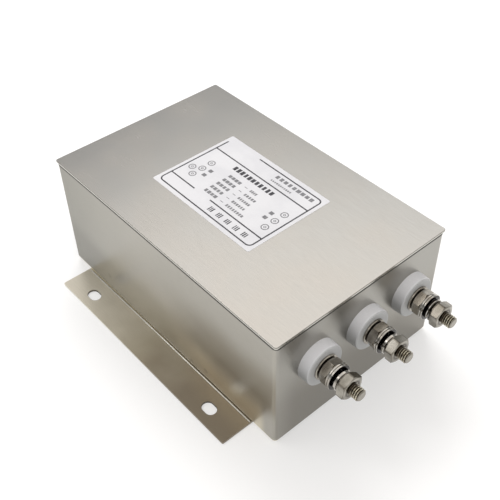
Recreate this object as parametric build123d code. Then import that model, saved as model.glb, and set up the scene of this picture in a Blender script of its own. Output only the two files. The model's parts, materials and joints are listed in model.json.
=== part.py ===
from build123d import *
from math import cos, radians, sin, tan
import os

# Three-phase line filter in a folded sheet-metal case. Millimetres.
# +X points to the load end, +Z up, the origin is under the middle of the mounting plate.

# Case, lid and mounting plate
case_length = 219.0
case_width = 139.0
case_height = 88.5
case_sheet = 1.5
case_corner_radius = 2.8
case_bend_radius = 2.2
lip_width = 9.0
lip_corner_radius = 6.0
lid_sheet = 1.5
lid_overhang = 0.5
lid_corner_radius = 1.6
lid_edge_radius = 0.4
plate_length = 180.0
flange_width = 23.0
plate_sheet = 1.5
plate_shift = -1.8
plate_corner_radius = 1.0
slot_pitch_x = 130.0
slot_edge = 10.0
slot_width = 8.0
slot_length = 11.0

# Rating label
label_length = 95.0
label_width = 69.0
label_thickness = 0.15
label_corner_radius = 1.2
label_x = -2.5
label_y = 1.8

# Terminal rows: three studs at each end and one earth stud at the line end
terminal_side = 30.0
terminal_shift = 1.3
terminal_drop = 32.8
earth_rise = 18.0
earth_side = 24.5

# Stud hardware
stud_radius = 4.0
stud_reach = 36.0
stud_chamfer = 1.0
thread_depth = 0.4
thread_clearance = 0.05
thread_run_out = 0.3
washer_clearance = 0.4
nut_across_flats = 15.0
nut_height = 6.5
nut_face_share = 0.95
nut_cone_angle = 30.0
nut_seat = 0.6
nut_seat_share = 0.92
bore_chamfer = 1.1
washer_radius = 8.75
washer_thickness = 1.5
seat_washer_thickness = 1.4
flat_washer_count = 2
spring_radius = 7.0
spring_sheet = 1.9
spring_rise = 2.0
spring_gap_angle = 14.0
stud_inner_end = 2.5

# Nylon bushings in the end walls
bushing_radius = 14.3
bushing_taper = 0.4
bushing_length = 7.7
bushing_edge_radius = 1.1
collar_radius = 9.8
collar_clearance = 0.2
collar_depth = 3.0
inner_bushing_radius = 13.0
inner_bushing_length = 7.0

# Turn of each nut's first corner, and of each spring washer's cut, about its stud, in degrees
load_lock_turns = (39.0, 56.0, 35.0)
load_nut_turns = (22.0, 40.0, 34.0)
load_spring_turns = (136.0, 140.0, 300.0)
line_lock_turns = (15.0, 3.0, 27.0)
line_nut_turns = (9.0, 24.0, 16.0)
line_spring_turns = (200.0, 80.0, 10.0)
earth_nut_turns = (10.0, 25.0, 5.0)
earth_spring_turn = 45.0
inner_nut_turn = 30.0

# Inner tray and its insulating liner
tray_length = 204.0
tray_sheet = 1.2
tray_side = 15.0
tray_bend_radius = 2.4
tray_gap = 0.1
liner_sheet = 0.5
liner_side = 78.0

# Three-winding choke, its axis along X
choke_room = 2.85
core_bore_share = 0.706
core_gap = 0.3
core_case_wall = 1.7
core_case_length = 40.0
wire_share = 0.855
wire_depth = 3.5
wire_bend_radius = 1.5
wire_gap = 0.3
turns = 5
winding_span = 92.0
tail_length = 8.0
winding_middles = (270.0, 30.0, 150.0)
divider_sheet = 2.0
divider_overhang = 3.0
hub_radius = 6.5

# Choke mounting
bracket_sheet = 2.0
bracket_width = 18.0
bracket_foot = 14.0
bracket_gap = 2.0
choke_bolt_radius = 3.0
choke_bolt_clearance = 0.2
choke_bolt_flats = 10.0
choke_bolt_head = 4.2
screw_radius = 1.5
screw_head_radius = 2.8
screw_head = 1.8
screw_head_chamfer = 0.8
screw_clearance = 0.1

# Capacitor boards
board_length = 42.0
board_side_gap = 6.2
board_sheet = 1.6
board_spacer = 5.0
spacer_radius = 3.0
board_margin = 4.5
board_gap = 2.0
x_capacitor_length = 32.0
x_capacitor_count_across = 5
x_capacitor_gap = 2.0
y_capacitor = (13.0, 6.0, 12.0)
y_capacitor_pitch = 9.0
bleed_length = 14.0
bleed_width = 6.0
bleed_pitch = 9.0
box_chamfer = 0.8

# Leads and ring lugs
lead_radius = 3.2
lead_bend = 9.0
lug_radius = 8.4
lug_sheet = 2.0
lug_neck_gap = 0.6
lug_barrel = 8.0
lug_wall = 0.9
lug_clearance = 0.1
lead_seat = 4.0
lead_gap = 1.0

# Levels and faces worked out from the sizes above
plate_width = case_width + 2 * flange_width
slot_pitch_y = plate_width - 2 * slot_edge
plate_top = plate_sheet
case_floor = plate_top + case_sheet
case_top = plate_top + case_height
lid_top = case_top + lid_sheet
wall_outside = case_length / 2
side_inside = case_width / 2 - case_sheet
terminal_z = case_top - terminal_drop
terminal_pitch = case_width / 2 - terminal_side
terminal_rows = [terminal_shift + terminal_pitch * row for row in (-1, 0, 1)]
earth_y = earth_side - case_width / 2
earth_z = plate_top + earth_rise
nut_corner_radius = nut_across_flats / 2 / cos(radians(30))
engaged_radius = stud_radius - thread_depth
nut_bore = engaged_radius + thread_clearance
tray_floor = case_floor + tray_sheet
liner_floor = tray_floor + liner_sheet
choke_z = (case_top + liner_floor) / 2
choke_radius = (case_top - liner_floor) / 2 - choke_room
core_outer_radius = choke_radius - wire_depth - wire_gap - core_case_wall - core_gap
core_inner_radius = core_bore_share * core_outer_radius
core_case_inner = core_inner_radius - core_gap - core_case_wall
core_case_outer = core_outer_radius + core_gap + core_case_wall
core_case_edge = min(0.75 * wire_bend_radius, 0.9 * core_case_wall)
wire_inner_radius = core_case_inner - wire_gap - wire_depth / 2
wire_outer_radius = core_case_outer + wire_gap + wire_depth / 2
wire_width = wire_share * radians(winding_span / turns) * (wire_inner_radius - wire_depth / 2)
wire_face = core_case_length / 2 + wire_gap
winding_face = wire_face + wire_depth
tail_end = winding_face + tail_length
bracket_face = winding_face + bracket_gap
bracket_outside = bracket_face + bracket_sheet
board_start = bracket_outside + bracket_foot + board_gap
board_middle = board_start + board_length / 2
board_width = 2 * (side_inside - tray_gap - tray_sheet - liner_sheet - board_side_gap)
board_floor = liner_floor + board_spacer
board_top = board_floor + board_sheet

# Where each piece of a terminal starts, measured out from the wall's outer face
seat_start = bushing_length
lock_start = seat_start + seat_washer_thickness
flat_start = lock_start + nut_height
spring_start = flat_start + flat_washer_count * washer_thickness
outer_nut_start = spring_start + spring_sheet + spring_rise

# Inside the wall, measured in from the wall's outer face
inner_washer_start = case_sheet + inner_bushing_length
lug_start = inner_washer_start + washer_thickness
inner_nut_start = lug_start + lug_sheet
stud_start = inner_nut_start + nut_height + stud_inner_end
lug_barrel_radius = lead_radius + lug_clearance + lug_wall
lug_neck = nut_corner_radius + lug_neck_gap
lug_axis = lug_start + lug_barrel_radius
lug_reach = lug_neck + lug_barrel

# Heights of the leads over the boards, and of the components that stand under them
low_run_z = terminal_z - lug_reach - lead_bend - lead_seat / 2
high_run_z = terminal_z + lug_reach + lead_bend + lead_seat / 2
low_tail_z = choke_z - wire_outer_radius * cos(radians(winding_span / 2))
x_capacitor_step = board_width / x_capacitor_count_across
x_capacitor_width = x_capacitor_step - x_capacitor_gap
x_capacitor_height = low_run_z - lead_radius - lead_gap - board_top
bleed_height = low_tail_z - lead_radius - lead_gap - board_top

along_x = Rot(0, 90, 0)


def rod(radius, length):
    """A cylinder on the X axis from x = 0."""
    return along_x * Cylinder(radius, length, align=(Align.CENTER, Align.CENTER, Align.MIN))


def ring(outer, inner, length):
    """A flat ring on the X axis from x = 0."""
    return rod(outer, length) - Pos(-1, 0, 0) * rod(inner, length + 2)


def turned_rod(radius, length, chamfer_size):
    """A rod on the X axis with a chamfer at each end."""
    blank = rod(radius, length)
    return chamfer(blank.edges().filter_by(GeomType.CIRCLE), chamfer_size)


def hexagon_crown(flats, height, turn):
    """A hexagon along the X axis from x = 0, its corners turned down to a cone on both faces."""
    corner_radius = flats / 2 / cos(radians(30))
    face_radius = nut_face_share * flats / 2
    drop = (corner_radius - face_radius) * tan(radians(nut_cone_angle))
    outline = Polyline(
        (0, 0), (0, face_radius), (drop, corner_radius),
        (height - drop, corner_radius), (height, face_radius), (height, 0),
        close=True,
    )
    blank = extrude(Plane.YZ * Rot(0, 0, turn) * RegularPolygon(corner_radius, 6), height)
    return blank & revolve(make_face(outline), Axis.X)


def hexagon_nut(flats, height, bore, turn, seat=0):
    """A hexagon nut on the X axis from x = 0, on a round seat of its own when it has one."""
    nut = Pos(seat, 0, 0) * hexagon_crown(flats, height - seat, turn)
    if seat:
        nut += rod(nut_seat_share * flats / 2, seat)
    return nut - Pos(-1, 0, 0) * rod(bore, height + 2)


def stud_nut(turn):
    """A nut for the terminal studs, its bore countersunk at both faces."""
    nut = hexagon_nut(nut_across_flats, nut_height, nut_bore, turn, nut_seat)
    mouths = nut.edges().filter_by(GeomType.CIRCLE).sort_by(SortBy.RADIUS)[:2]
    return chamfer(mouths, bore_chamfer)


def threaded_stud(start, nut_starts):
    """A stud on the X axis, taken down to its thread's pitch line wherever a nut is on it."""
    piece = Pos(-start, 0, 0) * turned_rod(stud_radius, start + stud_reach, stud_chamfer)
    relief = ring(stud_radius + 1, engaged_radius, nut_height + 2 * thread_run_out)
    for out in nut_starts:
        piece -= Pos(out - thread_run_out, 0, 0) * relief
    return piece


def spring_washer(turn):
    """One left-hand turn of wire, cut through and sprung open, on the X axis from x = 0."""
    bore = stud_radius + washer_clearance
    middle = (spring_radius + bore) / 2
    share = 1 - spring_gap_angle / 360
    path = Helix(spring_rise / share, spring_rise, middle, lefthand=True)
    wire = Rectangle(spring_radius - bore, spring_sheet)
    section = Plane(path @ 0, x_dir=(1, 0, 0), z_dir=path % 0) * wire
    coil = sweep(section, path=path, is_frenet=True)
    return Rot(turn, 0, 0) * along_x * Pos(0, 0, spring_sheet / 2) * coil


def at_stud(end, y, z, out, piece):
    """Put a piece made on the X axis on a stud, a distance out from the end wall."""
    turn = Rot(0, 0, 0) if end > 0 else Rot(0, 0, 180)
    return Pos(end * wall_outside, y, z) * turn * Pos(out, 0, 0) * piece


def terminal_set(end, out, piece):
    """The same piece on each stud of one end, as separate solids."""
    return [at_stud(end, y, terminal_z, out, piece) for y in terminal_rows]


def turned_set(end, out, make, turns_of_pieces):
    """A piece on each stud of one end, each turned its own way."""
    return [
        at_stud(end, y, terminal_z, out, make(turn))
        for y, turn in zip(terminal_rows, turns_of_pieces)
    ]


def box_shell():
    """The folded case before its holes: floor, four walls and inward lips round the top."""
    outside = extrude(RectangleRounded(case_length, case_width, case_corner_radius), case_height)
    rims = outside.faces().filter_by(Axis.Z).edges()
    outside = fillet(rims, case_bend_radius)
    inner_length = case_length - 2 * case_sheet
    inner_width = case_width - 2 * case_sheet
    inner_height = case_height - 2 * case_sheet
    inside = extrude(
        RectangleRounded(inner_length, inner_width, case_corner_radius - case_sheet), inner_height
    )
    inside = fillet(inside.faces().filter_by(Axis.Z).edges(), case_bend_radius - case_sheet)
    opening = extrude(
        RectangleRounded(case_length - 2 * lip_width, case_width - 2 * lip_width, lip_corner_radius),
        2 * case_sheet,
    )
    shell = outside - Pos(0, 0, case_sheet) * inside
    return shell - Pos(0, 0, case_height - 2 * case_sheet) * opening


def case_body():
    body = Pos(0, 0, plate_top) * box_shell()
    hole = Pos(-3 * case_sheet, 0, 0) * rod(collar_radius + collar_clearance, 6 * case_sheet)
    for end in (-1, 1):
        for y in terminal_rows:
            body -= at_stud(end, y, terminal_z, 0, hole)
    earth_hole = Pos(-3 * case_sheet, 0, 0) * rod(stud_radius + thread_clearance, 6 * case_sheet)
    return body - at_stud(-1, earth_y, earth_z, 0, earth_hole)


def lid():
    plate = extrude(
        RectangleRounded(
            case_length + 2 * lid_overhang, case_width + 2 * lid_overhang, lid_corner_radius
        ),
        lid_sheet,
    )
    plate = fillet(plate.faces().sort_by(Axis.Z)[-1].edges(), lid_edge_radius)
    return Pos(0, 0, case_top) * plate


def mounting_plate():
    outline = RectangleRounded(plate_length, plate_width, plate_corner_radius)
    slots = GridLocations(slot_pitch_x, slot_pitch_y, 2, 2) * SlotOverall(slot_length, slot_width)
    return Pos(plate_shift, 0, 0) * extrude(outline - slots, plate_sheet)


def rating_label():
    sticker = extrude(RectangleRounded(label_length, label_width, label_corner_radius), label_thickness)
    return Pos(label_x, label_y, lid_top) * sticker


def channel(length, width, side, sheet, bend):
    """A folded channel along X, open at the top, its floor's underside at z = 0."""
    outside = Rectangle(width, side, align=(Align.CENTER, Align.MIN))
    outside = fillet(outside.vertices().group_by(Axis.Y)[0], bend)
    inside = Rectangle(width - 2 * sheet, side, align=(Align.CENTER, Align.MIN))
    inside = fillet(inside.vertices().group_by(Axis.Y)[0], bend - sheet)
    profile = outside - Pos(0, sheet) * inside
    return extrude(Plane.YZ * profile, length / 2, both=True)


def board_corners(end):
    """The four fixing points of a capacitor board, as x and y."""
    step_x = board_length / 2 - board_margin
    step_y = board_width / 2 - board_margin
    return [(end * board_middle + i * step_x, j * step_y) for i in (-1, 1) for j in (-1, 1)]


def bracket_fixings():
    """The two screw points of each choke bracket's foot, as x and y."""
    x = bracket_outside + bracket_foot / 2
    y = bracket_width / 4
    return [(end * x, side * y) for end in (-1, 1) for side in (-1, 1)]


def screw_points():
    return board_corners(-1) + board_corners(1) + bracket_fixings()


def drill(piece, points, radius):
    """Upright holes through a low piece."""
    for x, y in points:
        piece -= Pos(x, y, 0) * Cylinder(radius, 2 * choke_z)
    return piece


def inner_tray():
    width = 2 * (side_inside - tray_gap)
    tray = Pos(0, 0, case_floor) * channel(tray_length, width, tray_side, tray_sheet, tray_bend_radius)
    return drill(tray, screw_points(), screw_radius + thread_clearance)


def insulating_liner():
    width = 2 * (side_inside - tray_gap - tray_sheet)
    bend = tray_bend_radius - tray_sheet
    liner = Pos(0, 0, tray_floor) * channel(tray_length, width, liner_side, liner_sheet, bend)
    return drill(liner, screw_points(), screw_radius + screw_clearance)


def in_choke(piece):
    """Put a piece made on the X axis on the choke's axis."""
    return Pos(0, 0, choke_z) * piece


def choke_core():
    length = core_case_length - 2 * core_case_wall - 2 * core_gap
    return in_choke(Pos(-length / 2, 0, 0) * ring(core_outer_radius, core_inner_radius, length))


def core_case_trough():
    """The moulded ring trough that holds the core, open towards +X."""
    length = core_case_length - core_case_wall
    trough = ring(core_case_outer, core_case_inner, length)
    trough = chamfer(trough.edges().group_by(Axis.X)[0], core_case_edge)
    room = ring(
        core_case_outer - core_case_wall, core_case_inner + core_case_wall, core_case_length
    )
    return in_choke(Pos(-core_case_length / 2, 0, 0) * (trough - Pos(core_case_wall, 0, 0) * room))


def core_case_cover():
    """The flat ring cover, bonded on the trough's open side."""
    cover = ring(core_case_outer, core_case_inner, core_case_wall)
    cover = chamfer(cover.edges().group_by(Axis.X)[-1], core_case_edge)
    return in_choke(Pos(core_case_length / 2 - core_case_wall, 0, 0) * cover)


def radial_plane(angle):
    """A plane through the choke's axis: its x runs along the axis, its y outwards."""
    tangent = (0, -sin(radians(angle)), cos(radians(angle)))
    return Plane(origin=(0, 0, choke_z), x_dir=(1, 0, 0), z_dir=tangent)


def wire_bar(plane, x_low, x_high, radius):
    """A straight length of wire along the choke's axis at one radius."""
    bar = Pos((x_low + x_high) / 2, radius) * Rectangle(x_high - x_low, wire_depth)
    return extrude(plane * bar, wire_width / 2, both=True)


def wire_loop(angle):
    """One turn round the core's section, open on the line side."""
    plane = radial_plane(angle)
    height = wire_outer_radius - wire_inner_radius
    middle = (wire_outer_radius + wire_inner_radius) / 2
    hole = RectangleRounded(2 * wire_face, height - wire_depth, wire_bend_radius)
    frame = RectangleRounded(
        2 * winding_face, height + wire_depth, wire_bend_radius + wire_depth
    )
    open_side = Pos(-winding_face, 0) * Rectangle(
        2 * (wire_depth + wire_bend_radius), 2 * height
    )
    turn = extrude(plane * Pos(0, middle) * (frame - hole - open_side), wire_width / 2, both=True)
    short = -wire_face + wire_bend_radius
    turn += wire_bar(plane, -winding_face, short, wire_outer_radius)
    return turn + wire_bar(plane, -winding_face, short, wire_inner_radius)


def wire_link(angle, next_angle):
    """The slanting bar on the line side from one turn's inner leg to the next turn's outer leg."""
    start = radial_plane(angle).from_local_coords((-winding_face, wire_inner_radius, 0))
    finish = radial_plane(next_angle).from_local_coords((-winding_face, wire_outer_radius, 0))
    run = finish - start
    plane = Plane(origin=(start + finish) / 2, x_dir=run, z_dir=(1, 0, 0))
    return extrude(plane * Rectangle(run.length + wire_depth, wire_width), wire_depth)


def choke_winding(middle):
    """Five turns of flat wire with a tail towards the line end and one towards the load end."""
    step = winding_span / turns
    angles = [middle - winding_span / 2 + step * k for k in range(turns + 1)]
    coil = wire_bar(radial_plane(angles[0]), -tail_end, -wire_face, wire_outer_radius)
    for angle, next_angle in zip(angles, angles[1:]):
        coil += wire_loop(angle)
        coil += wire_link(angle, next_angle)
    return coil + wire_bar(radial_plane(angles[-1]), -winding_face, tail_end, wire_outer_radius)


def choke_divider():
    """A hub on the choke's bolt with three arms that keep the windings apart."""
    piece = Pos(-bracket_face, 0, 0) * rod(hub_radius, 2 * bracket_face)
    arm_length = core_case_length + 2 * divider_overhang
    reach = core_case_inner - wire_gap
    for middle in winding_middles:
        arm = Pos(0, reach / 2) * Rectangle(arm_length, reach)
        angle = middle + 180 / len(winding_middles)
        plane = Plane(
            origin=(0, 0, 0),
            x_dir=(1, 0, 0),
            z_dir=(0, -sin(radians(angle)), cos(radians(angle))),
        )
        piece += extrude(plane * arm, divider_sheet / 2, both=True)
    bore = rod(choke_bolt_radius + choke_bolt_clearance, 4 * bracket_face)
    return in_choke(piece - Pos(-2 * bracket_face, 0, 0) * bore)


def choke_bracket(end):
    """An angle bracket beside the choke: a round-headed upright and a foot on the liner."""
    rise = choke_z - liner_floor
    upright = Pos(0, rise / 2) * Rectangle(bracket_width, rise)
    head = Pos(0, rise) * Circle(bracket_width / 2)
    upright = extrude(Plane.YZ * (upright + head), bracket_sheet)
    foot = Box(
        bracket_sheet + bracket_foot,
        bracket_width,
        bracket_sheet,
        align=(Align.MIN, Align.CENTER, Align.MIN),
    )
    angle = upright + foot
    inner_edge = angle.edges().filter_by(Axis.Y).filter_by_position(
        Axis.X, bracket_sheet - 0.01, bracket_sheet + 0.01
    )
    angle = fillet(inner_edge.sort_by(Axis.Z)[0:1], bracket_sheet / 2)
    bolt_hole = Pos(-1, 0, rise) * rod(choke_bolt_radius + choke_bolt_clearance, bracket_sheet + 2)
    turn = Rot(0, 0, 0) if end > 0 else Rot(0, 0, 180)
    placed = Pos(end * bracket_face, 0, liner_floor) * turn * (angle - bolt_hole)
    return drill(placed, bracket_fixings(), screw_radius + screw_clearance)


def choke_bolt():
    """Hexagon-head bolt through both brackets and the divider's hub, its head at the load end."""
    reach = bracket_outside + choke_bolt_flats
    shank = Pos(-reach, 0, 0) * rod(choke_bolt_radius, reach + bracket_outside)
    head = hexagon_crown(choke_bolt_flats, choke_bolt_head, 0)
    return in_choke(shank + Pos(bracket_outside, 0, 0) * head)


def choke_nut():
    bore = choke_bolt_radius + thread_clearance
    nut = hexagon_nut(choke_bolt_flats, choke_bolt_head, bore, inner_nut_turn)
    return in_choke(Pos(-bracket_outside - choke_bolt_head, 0, 0) * nut)


def pan_screw(x, y, seat):
    """A round-headed screw standing on z = seat and ending in the tray."""
    head = Pos(x, y, seat) * Cylinder(
        screw_head_radius, screw_head, align=(Align.CENTER, Align.CENTER, Align.MIN)
    )
    head = chamfer(head.faces().sort_by(Axis.Z)[-1].edges(), screw_head_chamfer)
    shank = Pos(x, y, case_floor) * Cylinder(
        screw_radius, seat - case_floor, align=(Align.CENTER, Align.CENTER, Align.MIN)
    )
    return head + shank


def capacitor_board(end):
    slab = Pos(end * board_middle, 0, board_floor) * Box(
        board_length, board_width, board_sheet, align=(Align.CENTER, Align.CENTER, Align.MIN)
    )
    return drill(slab, board_corners(end), screw_radius + screw_clearance)


def board_spacer_tube(x, y):
    tube = Cylinder(spacer_radius, board_spacer, align=(Align.CENTER, Align.CENTER, Align.MIN))
    return Pos(x, y, liner_floor) * (tube - Cylinder(screw_radius + screw_clearance, 4 * board_spacer))


def component_box(size):
    """A moulded component body standing on z = 0, its upright and top edges eased."""
    body = Box(*size, align=(Align.CENTER, Align.CENTER, Align.MIN))
    top = body.faces().sort_by(Axis.Z)[-1].edges()
    return chamfer(body.edges().filter_by(Axis.Z) + top, box_chamfer)


def x_capacitor_places(end):
    """Three in a row, from one edge of the board towards the middle."""
    edge = board_width / 2 - board_margin - screw_head_radius - x_capacitor_gap / 2
    first = edge - x_capacitor_width / 2
    return [(end * board_middle, -end * (first - x_capacitor_step * k)) for k in range(3)]


def x_capacitors(end):
    body = component_box((x_capacitor_length, x_capacitor_width, x_capacitor_height))
    return [Pos(x, y, board_top) * body for x, y in x_capacitor_places(end)]


def y_capacitors():
    """Three at the far edge of the load board."""
    body = component_box(y_capacitor)
    y = board_width / 2 - board_margin - y_capacitor[0] / 2
    return [
        Pos(board_middle + y_capacitor_pitch * k, y, board_top) * Rot(0, 0, 90) * body
        for k in (-1, 0, 1)
    ]


def bleed_resistors():
    """Three beside the last capacitor of the load board, low enough for a lead to pass over."""
    body = component_box((bleed_width, bleed_length, bleed_height))
    y = x_capacitor_places(1)[2][1] + x_capacitor_width / 2 + x_capacitor_gap + bleed_length / 2
    return [Pos(board_middle + bleed_pitch * k, y, board_top) * body for k in (-1, 0, 1)]


def bushing():
    """The outer bushing: a tapered head and a collar that passes through the wall."""
    head = along_x * Cone(
        bushing_radius,
        bushing_radius - bushing_taper,
        bushing_length,
        align=(Align.CENTER, Align.CENTER, Align.MIN),
    )
    head = fillet(head.edges().sort_by(Axis.X)[-1], bushing_edge_radius)
    depth = case_sheet + collar_depth
    collar = Pos(-depth, 0, 0) * rod(collar_radius, depth)
    bore = Pos(-2 * depth, 0, 0) * rod(stud_radius + thread_clearance, 4 * bushing_length)
    return head + collar - bore


def inner_bushing():
    """The inner bushing, recessed for the outer one's collar."""
    body = ring(inner_bushing_radius, stud_radius + thread_clearance, inner_bushing_length)
    recess = rod(collar_radius + collar_clearance, collar_depth + collar_clearance)
    return body - Pos(inner_bushing_length - collar_depth - collar_clearance, 0, 0) * recess


def ring_lug(barrel_up):
    """A crimp lug on the X axis: its tongue's wall side at x = 0, its barrel on the choke side."""
    neck = Pos(0, -lug_neck / 2) * Rectangle(2 * lug_barrel_radius, lug_neck + 1)
    tongue = Circle(lug_radius) + neck - Circle(stud_radius + washer_clearance)
    tongue = Pos(-lug_sheet, 0, 0) * extrude(Plane.YZ * tongue, lug_sheet)
    barrel = Cylinder(lug_barrel_radius, lug_barrel) - Cylinder(
        lead_radius + lug_clearance, 2 * lug_barrel
    )
    lug = tongue + Pos(-lug_barrel_radius, 0, lug_barrel / 2 - lug_reach) * barrel
    return Rot(180, 0, 0) * lug if barrel_up else lug


def lug_is_up(row):
    """The middle stud's lead comes from above, the outer two from below."""
    return row == 1


def lugs(end):
    return [
        at_stud(end, y, terminal_z, -lug_start, ring_lug(lug_is_up(row)))
        for row, y in enumerate(terminal_rows)
    ]


def tail_point(end, winding):
    """The end of a winding's tail: its first turn leaves at the line end, its last at the load end."""
    angle = radians(winding_middles[winding] + end * winding_span / 2)
    return (
        end * tail_end,
        wire_outer_radius * cos(angle),
        choke_z + wire_outer_radius * sin(angle),
    )


def lead(end, winding, row):
    """An insulated lead from a winding's tail to the lug on one stud."""
    x, y, z = tail_point(end, winding)
    stud_y = terminal_rows[row]
    x_lug = end * (wall_outside - lug_axis)
    side = 1 if lug_is_up(row) else -1
    z_seat = terminal_z + side * (lug_reach - lead_seat)
    z_run = max(z, high_run_z) if lug_is_up(row) else min(z, low_run_z)
    turn_x = x + end * 2 * lead_bend
    points = [
        (x, y, z),
        (turn_x, y, z),
        (x_lug, stud_y, z_run),
        (x_lug, stud_y, z_seat),
    ]
    path = FilletPolyline(*points, radius=lead_bend)
    section = Plane(path @ 0, z_dir=path % 0) * Circle(lead_radius)
    return sweep(section, path=path)


def leads(end):
    """Winding 0 is under the core: it goes to the outer stud beside its tail."""
    to_rows = {1: {0: 2, 1: 1, 2: 0}, -1: {0: 0, 1: 2, 2: 1}}
    return [lead(end, winding, row) for winding, row in to_rows[end].items()]


def earth_pieces():
    """The earth stud and its hardware at the line end, straight on the bare wall."""
    def place(out, piece):
        return at_stud(-1, earth_y, earth_z, out, piece)

    inner = case_sheet + washer_thickness
    washer = ring(washer_radius, stud_radius + washer_clearance, washer_thickness)
    lock = washer_thickness
    flat = lock + nut_height
    coil = flat + washer_thickness
    outer = coil + spring_sheet + spring_rise
    nut_starts = (-inner - nut_height, lock, outer)
    start = inner + nut_height + stud_inner_end
    return {
        "earth_stud": place(0, threaded_stud(start, nut_starts)),
        "earth_nuts": [place(out, stud_nut(turn)) for out, turn in zip(nut_starts, earth_nut_turns)],
        "earth_washers": [place(out, washer) for out in (-inner, 0, flat)],
        "earth_spring_washer": place(coil, spring_washer(earth_spring_turn)),
    }


def terminal_pieces(name, end, lock_turns, nut_turns, spring_turns):
    """Everything on the three studs of one end."""
    flat_washer = ring(washer_radius, stud_radius + washer_clearance, washer_thickness)
    seat_washer = ring(washer_radius, stud_radius + washer_clearance, seat_washer_thickness)
    flat_washers = [
        washer
        for k in range(flat_washer_count)
        for washer in terminal_set(end, flat_start + k * washer_thickness, flat_washer)
    ]
    pieces = {
        name + "_inner_bushings": terminal_set(end, -inner_washer_start, inner_bushing()),
        name + "_seat_washers": terminal_set(end, seat_start, seat_washer),
        name + "_lock_nuts": turned_set(end, lock_start, stud_nut, lock_turns),
        name + "_flat_washers": flat_washers,
        name + "_spring_washers": turned_set(end, spring_start, spring_washer, spring_turns),
        name + "_terminal_nuts": turned_set(end, outer_nut_start, stud_nut, nut_turns),
        name + "_leads": leads(end),
        name + "_lugs": lugs(end),
    }
    stud = threaded_stud(stud_start, (-inner_nut_start - nut_height, lock_start, outer_nut_start))
    for number, y in enumerate(terminal_rows, 1):
        pieces[f"{name}_bushing_{number}"] = at_stud(end, y, terminal_z, 0, bushing())
        pieces[f"{name}_stud_{number}"] = at_stud(end, y, terminal_z, 0, stud)
    return pieces


def inner_hardware():
    """Nuts and washers that clamp the lugs, on all six terminal studs."""
    washer = ring(washer_radius, stud_radius + washer_clearance, washer_thickness)
    same_turn = [inner_nut_turn] * len(terminal_rows)
    both = (-1, 1)
    return {
        "inner_washers": [w for end in both for w in terminal_set(end, -lug_start, washer)],
        "inner_nuts": [
            nut
            for end in both
            for nut in turned_set(end, -inner_nut_start - nut_height, stud_nut, same_turn)
        ],
    }


def all_pieces():
    pieces = {
        "mounting_plate": mounting_plate(),
        "case_body": case_body(),
        "lid": lid(),
        "rating_label": rating_label(),
        "inner_tray": inner_tray(),
        "insulating_liner": insulating_liner(),
        "choke_core": choke_core(),
        "choke_case_trough": core_case_trough(),
        "choke_case_cover": core_case_cover(),
        "choke_divider": choke_divider(),
        "choke_brackets": [choke_bracket(-1), choke_bracket(1)],
        "choke_bolt": choke_bolt(),
        "choke_nut": choke_nut(),
        "choke_bracket_screws": [
            pan_screw(x, y, liner_floor + bracket_sheet) for x, y in bracket_fixings()
        ],
        "line_capacitor_board": capacitor_board(-1),
        "load_capacitor_board": capacitor_board(1),
        "board_spacers": [board_spacer_tube(x, y) for x, y in board_corners(-1) + board_corners(1)],
        "board_screws": [pan_screw(x, y, board_top) for x, y in board_corners(-1) + board_corners(1)],
        "line_x_capacitors": x_capacitors(-1),
        "load_x_capacitors": x_capacitors(1),
        "y_capacitors": y_capacitors(),
        "bleed_resistors": bleed_resistors(),
    }
    for number, middle in enumerate(winding_middles, 1):
        pieces[f"choke_winding_{number}"] = choke_winding(middle)
    pieces.update(terminal_pieces("load", 1, load_lock_turns, load_nut_turns, load_spring_turns))
    pieces.update(terminal_pieces("line", -1, line_lock_turns, line_nut_turns, line_spring_turns))
    pieces.update(inner_hardware())
    pieces.update(earth_pieces())
    return pieces


os.makedirs("parts", exist_ok=True)
for name, piece in all_pieces().items():
    solids = piece if isinstance(piece, list) else [piece]
    export_step(Compound([solid for part in solids for solid in part.solids()]), f"parts/{name}.step")
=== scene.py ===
import bpy
import json
import random
from math import atan2, cos, pi, radians, sin, sqrt, tan, tau
from mathutils import Matrix, Vector


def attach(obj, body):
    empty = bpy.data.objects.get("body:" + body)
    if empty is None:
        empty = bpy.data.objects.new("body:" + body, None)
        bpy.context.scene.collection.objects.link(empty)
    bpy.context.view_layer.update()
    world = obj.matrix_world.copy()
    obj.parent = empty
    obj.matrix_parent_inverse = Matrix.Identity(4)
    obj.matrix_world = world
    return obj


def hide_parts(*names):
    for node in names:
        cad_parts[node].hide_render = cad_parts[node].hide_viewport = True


# The looks of a three-phase line filter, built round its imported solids. Lengths are in
# millimetres, times MM where an object is made, and +X points to the load end.
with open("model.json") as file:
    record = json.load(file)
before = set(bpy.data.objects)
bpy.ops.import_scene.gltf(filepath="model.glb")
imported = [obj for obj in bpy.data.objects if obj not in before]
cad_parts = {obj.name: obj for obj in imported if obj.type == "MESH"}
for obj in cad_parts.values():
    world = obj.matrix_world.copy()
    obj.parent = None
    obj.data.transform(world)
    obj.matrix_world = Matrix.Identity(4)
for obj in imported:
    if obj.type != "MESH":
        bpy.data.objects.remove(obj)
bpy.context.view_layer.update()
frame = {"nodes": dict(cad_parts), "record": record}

MM = 0.001

# The case, its lid and the mounting plate
CASE_LENGTH = 219.0
CASE_WIDTH = 139.0
CASE_CORNER = 2.8
SHEET = 1.5
WALL = CASE_LENGTH / 2
CASE_SIDE = CASE_WIDTH / 2
LID_TOP = 91.5
PLATE_TOP = SHEET
PLATE_LENGTH = 180.0
PLATE_MIDDLE = -1.8
SLOT_PITCH_X = 130.0
SLOT_PITCH_Y = 165.0
SLOT_LENGTH = 11.0
SLOT_WIDTH = 8.0

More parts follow.
